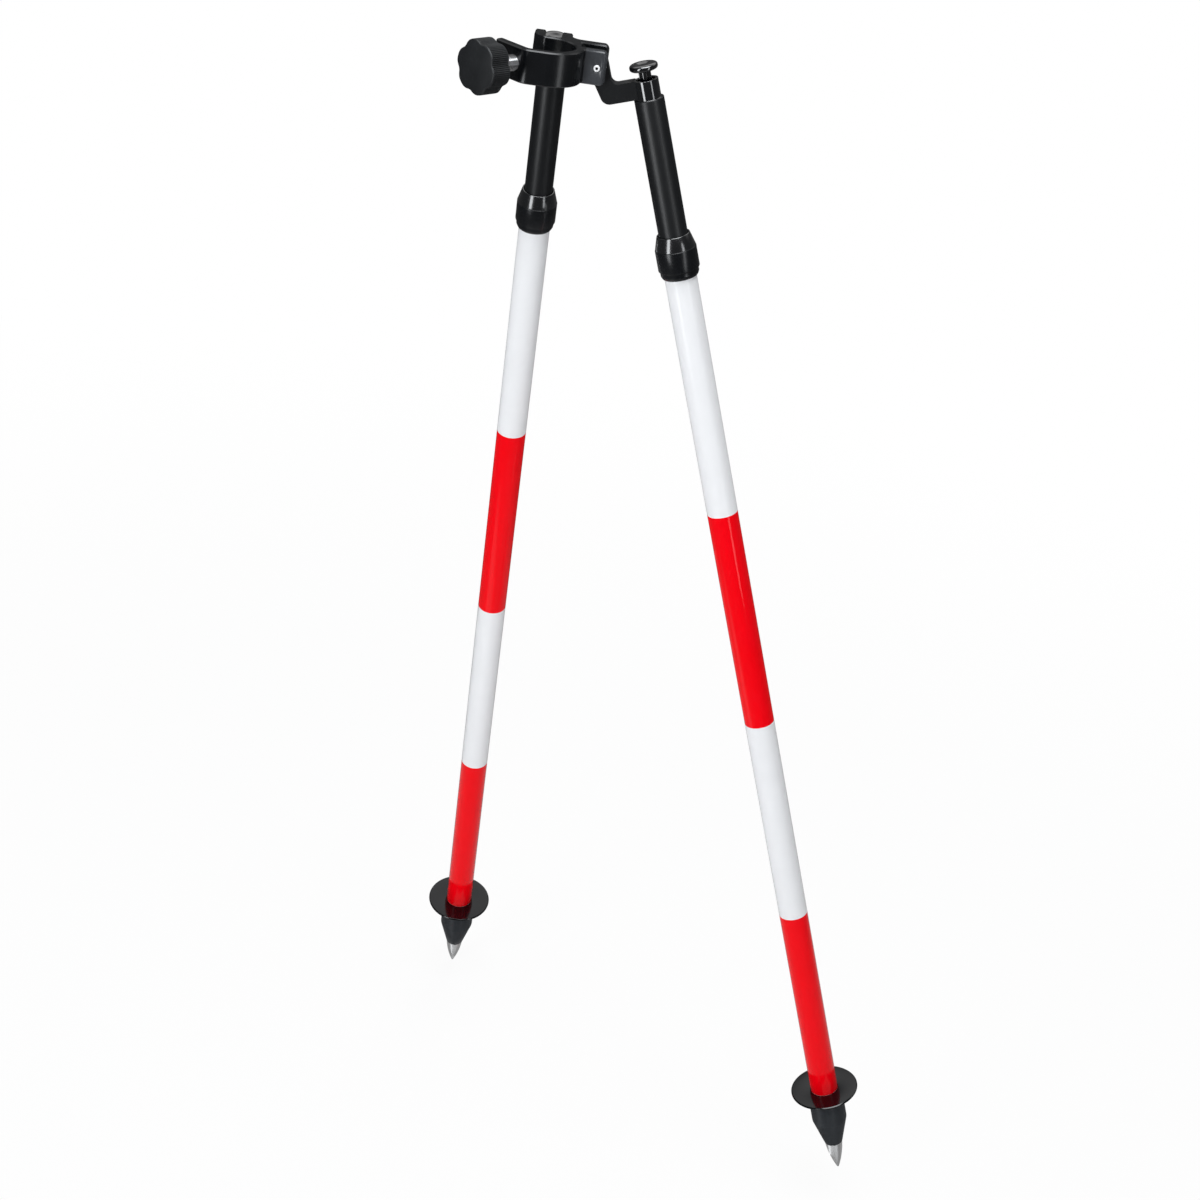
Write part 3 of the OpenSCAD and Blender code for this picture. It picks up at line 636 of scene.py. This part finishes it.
# %% Pins and washers
half = 14.25 + 0.6
WASHER_AT, WASHER_HALF = 5.75, 0.45
WASHER_IN, WASHER_OUT = 2.58, 7.0
for side in SIDES:
    turned(
        side + "_pivot_pin_riveted", "clamp", side + "_pivot_pin", finish[side, "silver"], PIN[side],
        [
            (0, 2 - half), (1.0, 2 - half), (1.0, -half), (2.05, -half), (2.5, 0.6 - half),
            (2.5, half - 0.6), (2.05, half), (1.0, half), (1.0, half - 2), (0, half - 2),
        ], 0.2, steps=48,
    )
    for end, front in ((WASHER_AT, "right"), (-WASHER_AT, "left")):
        node = side + ("_front_washer" if front == side else "_back_washer")
        near_z, far_z = end - WASHER_HALF, end + WASHER_HALF
        turned(
            node + "_pressed", "clamp", node, finish[side, "nylon"], PIN[side],
            [(WASHER_IN, near_z), (WASHER_OUT, near_z), (WASHER_OUT, far_z), (WASHER_IN, far_z)], 0.15, steps=64,
        )

# %% [markdown]
# ## The clamp's knob
# The knob is a moulding with six broad lobes and a fine knurl on its side. One ring of points is extruded from the
# stud's hole over the back, along the side and to the face. Each new ring is moved to the lobed outline, and the
# rings on the side also get the knurl's teeth, so the whole knob is one closed skin.

# %% Knob
KNOB_BACK = -50.5
KNOB_FACE = KNOB_BACK - 17.2
LOBES, TEETH, STEPS = 6, 15, 4
TIP_R, VALLEY_DEEP, BORE_R, TOOTH_DEEP = 20.2, 2.1, 6.04, 0.6
REST_TURN = math.radians(42)


def lobed(turn, inset, knurl):
    valley = ((1 - math.cos(LOBES * (turn - REST_TURN))) / 2) ** 2
    tooth = ((1 + math.cos(LOBES * TEETH * turn)) / 2) ** 2
    return TIP_R - VALLEY_DEEP * valley - inset - knurl * tooth


def knob_mesh():
    mesh = bmesh.new()
    count = LOBES * TEETH * STEPS
    hole = bmesh.ops.create_circle(mesh, cap_ends=True, segments=count, radius=BORE_R * MM)
    bmesh.ops.translate(mesh, vec=(0, 0, (KNOB_BACK - 12) * MM), verts=hole["verts"])
    loop = list({edge for vert in hole["verts"] for edge in vert.link_edges})
    rings = [(KNOB_BACK, None, 0), (KNOB_BACK, 1.3, 0), (KNOB_BACK - 0.25, 0.55, 0), (KNOB_BACK - 0.9, 0.1, 0)]
    rings += [(KNOB_BACK - 1.4, 0, TOOTH_DEEP), (KNOB_FACE + 1.4, 0, TOOTH_DEEP)]
    rings += [(KNOB_FACE + 0.9, 0.1, 0), (KNOB_FACE + 0.25, 0.55, 0), (KNOB_FACE, 1.3, 0)]
    for z, inset, knurl in rings:
        made = bmesh.ops.extrude_edge_only(mesh, edges=loop)["geom"]
        loop = [item for item in made if isinstance(item, bmesh.types.BMEdge)]
        for vert in {vert for edge in loop for vert in edge.verts}:
            turn = math.atan2(vert.co.y, vert.co.x)
            r = (BORE_R if inset is None else lobed(turn, inset, knurl)) * MM
            vert.co = (r * math.cos(turn), r * math.sin(turn), z * MM)
    bmesh.ops.contextual_create(mesh, geom=loop)
    bmesh.ops.recalc_face_normals(mesh, faces=mesh.faces)
    return mesh


mesh = knob_mesh()
bmesh.ops.transform(mesh, matrix=SCREW, verts=mesh.verts)
make_piece(mesh, "clamp_knob_knurled", "knob", "clamp_knob", finish["knob"], sharp=50)

# %% [markdown]
# ## The clamp's screw
# The stud has a metric thread. One tooth's profile is spun while it climbs, so that each turn ends where the next
# one starts, and merging the doubles makes one helical skin. Two cuts trim it to length. A smooth nose turns in the
# pad that presses on the pole.

# %% Threaded stud and pad
PITCH = 1.75
STUD_LOW = KNOB_BACK - 11.96
STUD_END = -23.8
CREST_R, ROOT_R, NOSE_R = 5.98, 5.05, 3.5


def thread_mesh(steps=36):
    mesh = bmesh.new()
    turns = math.ceil((STUD_END - STUD_LOW) / PITCH) + 2
    tooth = [(CREST_R, 0), (CREST_R, 0.125), (ROOT_R, 0.44), (ROOT_R, 0.56), (CREST_R, 0.875), (CREST_R, 1)]
    start = STUD_LOW - PITCH
    verts = [mesh.verts.new((r * MM, 0, (start + share * PITCH) * MM)) for r, share in tooth]
    edges = [mesh.edges.new(pair) for pair in zip(verts, verts[1:])]
    bmesh.ops.spin(
        mesh, geom=verts + edges, cent=(0, 0, 0), axis=(0, 0, 1), dvec=(0, 0, PITCH / steps * MM),
        angle=2 * math.pi * turns, steps=steps * turns, use_merge=False, use_duplicate=False,
    )
    bmesh.ops.remove_doubles(mesh, verts=mesh.verts, dist=2e-6)
    for height, up in ((STUD_LOW, -1), (STUD_END, 1)):
        cut = bmesh.ops.bisect_plane(
            mesh, geom=mesh.verts[:] + mesh.edges[:] + mesh.faces[:], dist=1e-7,
            plane_co=(0, 0, height * MM), plane_no=(0, 0, up), clear_outer=True,
        )
        rim = [item for item in cut["geom_cut"] if isinstance(item, bmesh.types.BMEdge)]
        bmesh.ops.edgeloop_fill(mesh, edges=rim)
    bmesh.ops.recalc_face_normals(mesh, faces=mesh.faces)
    return mesh


mesh = thread_mesh()
nose = [(0, STUD_END - 1), (NOSE_R, STUD_END - 1), (NOSE_R, STUD_END + 1.8), (0, STUD_END + 1.8)]
spin_profile(mesh, nose, 0.2, steps=48)
bmesh.ops.transform(mesh, matrix=SCREW, verts=mesh.verts)
make_piece(mesh, "clamp_screw_threaded", "knob", "clamp_screw", finish["stud"])
pad = STUD_END + 0.04
turned(
    "clamp_pad_moulded", "pressure_pad", "clamp_pad", finish["pad"], SCREW,
    [(0, pad + 1.8), (3.58, pad + 1.8), (3.58, pad), (7.0, pad), (7.0, pad + 2.4), (6.4, pad + 3), (0, pad + 3)],
    0.3, steps=64,
)

# %% [markdown]
# ## What stays as it is
# The brake train inside the legs has the right shape already, so its solids only take their finishes. Each return
# spring gets a mesh of its own.

# %% The remaining solids
looks = {
    "push_rod": "steel", "return_spring": "steel", "spring_seat": "steel", "brake_collet": "nylon",
    "brake_cone": "brass", "guide_bush": "nylon",
}
for side in SIDES:
    for node, look in looks.items():
        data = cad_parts[side + "_" + node].data
        data.materials.clear()
        data.materials.append(finish[side, look])
    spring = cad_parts[side + "_return_spring"]
    heights = [(LEG[side].inverted() @ vert.co).z for vert in spring.data.vertices]
    LEG[side].to_3x3() @ Vector((0, 0, 1))
    LEG[side] @ Vector((0, 0, min(heights)))
    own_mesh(spring)
print("solids that keep their shape:", len(looks) * len(SIDES))

# %% [markdown]
# ## Floor, light and camera
# The floor is a plain white sheet just under the lowest point, and the backdrop is white too. Black pieces show what
# stands round them, so reflections find a bright backdrop high at the back, a greyer floor between the feet and a
# dim room elsewhere. Two upright soft boxes draw the long highlights on the tubes, a lamp above lights the clamp, one
# at the rear keeps the far side light, and a wide panel that only reflections see draws the bright edges. The panel
# leaves out the painted tubes, which would glare when a leg is raised. A white patch of the floor at the left, also
# for reflections only, adds a faint streak to the red paint. The camera repeats the viewpoint of the photograph.

# %% Floor
FLOOR_R = 2.4
FLOOR_GAP = 0.5
low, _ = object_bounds()
mesh = bmesh.new()
bmesh.ops.create_circle(mesh, cap_ends=True, segments=96, radius=FLOOR_R)
bmesh.ops.translate(mesh, vec=(0, 0, low.z - FLOOR_GAP * MM), verts=mesh.verts)
data = bpy.data.meshes.new("floor")
mesh.to_mesh(data)
mesh.free()
floor = bpy.data.objects.new("floor", data)
bpy.context.scene.collection.objects.link(floor)


def rays(tree, *kinds):
    path = tree.nodes.new("ShaderNodeLightPath")
    return [Wire(tree, path.outputs["Is " + kind + " Ray"]) for kind in kinds]


paper = bpy.data.materials.new("pale_floor")
paper.use_nodes = True
paper.cycles.emission_sampling = "NONE"
tree = paper.node_tree
tree.nodes.clear()
straight, glossy, through = rays(tree, "Camera", "Glossy", "Transmission")
spot = straight.node("TexCoord", {}, {}, output=3)
sheet = 0.93 + 0.07 * radius_of(spot).fade(0.7, 2.1)
among_feet = spot.node("VectorMath", {"operation": "SUBTRACT"}, {0: spot, 1: (0.19, 0.15, 0)})
near = 1.0 - radius_of(among_feet).fade(0.45, 1.0)
patch_y = (part_of(spot, "Y") - 0.227 * part_of(spot, "X") + 0.14) * 4.5
patch_x = (part_of(spot, "X") + 0.26) * 2.5
patch = 1.0 - (patch_y * patch_y + patch_x * patch_x).fade(0.0, 1.0)
level = straight + (glossy + through) * (0.08 + 0.24 * near + 0.68 * patch)
matt = spot.node("BsdfDiffuse", {}, {"Color": rgb(0.92, 0.92, 0.92)})
white = spot.node("Emission", {}, {"Color": rgb(1, 1, 1), "Strength": level})
both = spot.node("MixShader", {}, {0: sheet * (straight + glossy + through), 1: matt, 2: white})
spot.node("OutputMaterial", {}, {"Surface": both})
floor.data.materials.append(paper)
print("floor at", round(low.z, 4))

# %% World and lamps
world = bpy.data.worlds.new("studio")
bpy.context.scene.world = world
world.use_nodes = True
tree = world.node_tree
tree.nodes.clear()
straight, glossy, through = rays(tree, "Camera", "Glossy", "Transmission")
way = straight.node("TexCoord", {}, {})
backdrop = part_of(way, "Y").fade(-0.1, 0.35) * part_of(way, "Z").fade(0.35, 0.7)
level = 0.38 + 0.62 * straight + (glossy + through) * (0.92 * backdrop - 0.30)
room = way.node("Background", {}, {"Color": rgb(1, 1, 1), "Strength": level})
way.node("OutputWorld", {}, {"Surface": room})


def soft_lamp(name, place, target, width, height, power, lights=True, shows=True):
    lamp = bpy.data.lights.new(name, "AREA")
    lamp.shape = "RECTANGLE"
    lamp.size = width
    lamp.size_y = height
    lamp.energy = power
    lamp.color = (0.95, 0.975, 1.0)
    made = bpy.data.objects.new(name, lamp)
    made.location = place
    made.rotation_euler = (Vector(target) - Vector(place)).to_track_quat("-Z", "Y").to_euler()
    made.visible_camera = False
    made.visible_diffuse = lights
    made.visible_glossy = shows
    bpy.context.scene.collection.objects.link(made)
    print("lamp", name, "gives", power, "W")
    return made


soft_lamp("left_box", (-1.08, -1.5, -0.2), (0.1, 0.1, -0.2), 0.55, 2.0, 19.5)
soft_lamp("right_box", (1.42, -1.3, 0.0), (0.1, 0.1, 0.0), 0.35, 1.5, 5)
soft_lamp("above", (0.1, -0.45, 1.9), (0.1, 0.1, 0), 1.2, 0.8, 25, shows=False)
soft_lamp("rear", (0.4, 1.9, 1.5), (0.1, 0.1, -0.4), 1.2, 0.8, 14, shows=False)
panel = soft_lamp("panel", (0.1, -1.02, 1.5), (0.1, -0.8, 0), 2.0, 1.48, 74, lights=False)

# %% The panel leaves the painted tubes alone
painted = bpy.data.collections.new("painted_tubes")
for side in SIDES:
    painted.objects.link(bpy.data.objects[side + "_lower_tube_painted"])
panel.light_linking.receiver_collection = painted
for entry in painted.collection_objects:
    entry.light_linking.link_state = "EXCLUDE"

# %% Camera
lens = bpy.data.cameras.new("camera")
lens.sensor_width = 36
lens.lens = 67.972
camera = bpy.data.objects.new("camera", lens)
pitch, roll, yaw = (math.radians(a) for a in (27.511, -8.428, 0.755))
ahead = Vector((math.sin(yaw) * math.cos(pitch), math.cos(yaw) * math.cos(pitch), -math.sin(pitch)))
aside = Vector((math.cos(yaw), -math.sin(yaw), 0))
down = ahead.cross(aside)
across = aside * math.cos(roll) + down * math.sin(roll)
below = down * math.cos(roll) - aside * math.sin(roll)
eye = Vector((0.075007, -1.666197, 0.429095))
camera.matrix_world = Matrix(
    ((across.x, -below.x, -ahead.x, eye.x), (across.y, -below.y, -ahead.y, eye.y),
     (across.z, -below.z, -ahead.z, eye.z), (0, 0, 0, 1))
)
bpy.context.scene.collection.objects.link(camera)
bpy.context.scene.camera = camera
bpy.context.scene.view_settings.view_transform = "Standard"
print("camera at", tuple(round(x, 3) for x in camera.matrix_world.translation))
